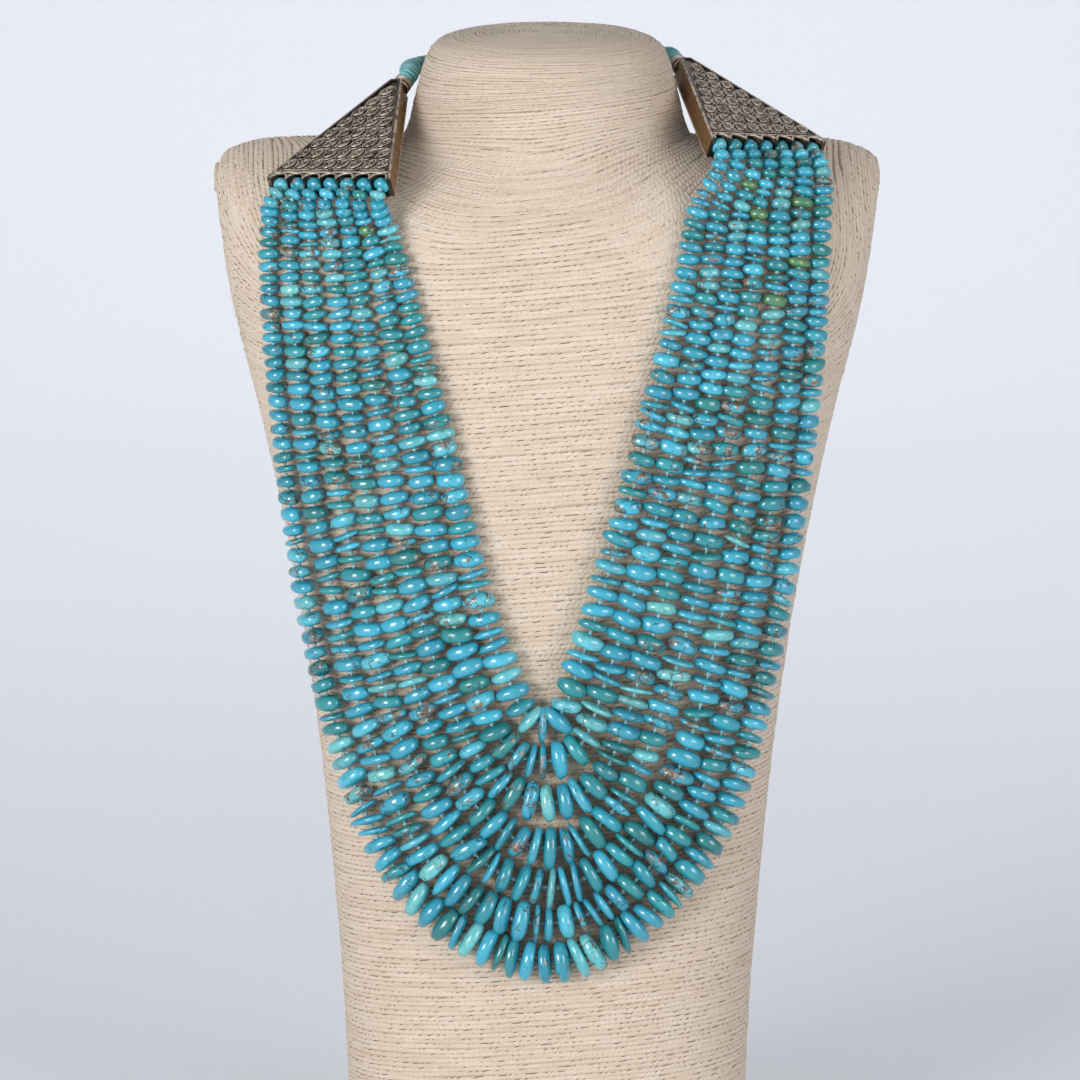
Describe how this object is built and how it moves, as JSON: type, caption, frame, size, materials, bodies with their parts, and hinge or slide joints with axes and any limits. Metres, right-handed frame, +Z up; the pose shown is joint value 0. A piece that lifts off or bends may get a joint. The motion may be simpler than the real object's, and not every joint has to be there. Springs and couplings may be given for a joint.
{
  "type": "layered necklace on a neck bust",
  "caption": "Twine-wound neck bust wearing a layered necklace of graduated turquoise disc strings that hang between two triangular filigree silver end caps joined by a neck cord.",
  "frame": {"origin": "centre of the bust's flat base, on the surface that it stands on", "axes": "X across the shoulders to the viewer's right, Y from the chest to the back, Z up"},
  "size_m": [0.2166, 0.1043, 0.3818],
  "materials": {
    "twine": "paper twine wound close, matte",
    "silver": "darkened silver with bright edges",
    "turquoise": "polished turquoise with brown matrix",
    "thread": "pale teal knotting thread",
    "cord": "teal thread wrapped close over a core"
  },
  "bodies": {
    "root": {"bust": "twine", "left_cap": "silver", "right_cap": "silver", "beads_outer": "turquoise", "strand_2": "turquoise", "strand_3": "turquoise", "strand_4": "turquoise", "strand_5": "turquoise", "strand_6": "turquoise", "beads_inner": "turquoise", "thread_outer": "thread", "thread_inner": "thread", "neck_cord": "cord"}
  },
  "joints": []
}
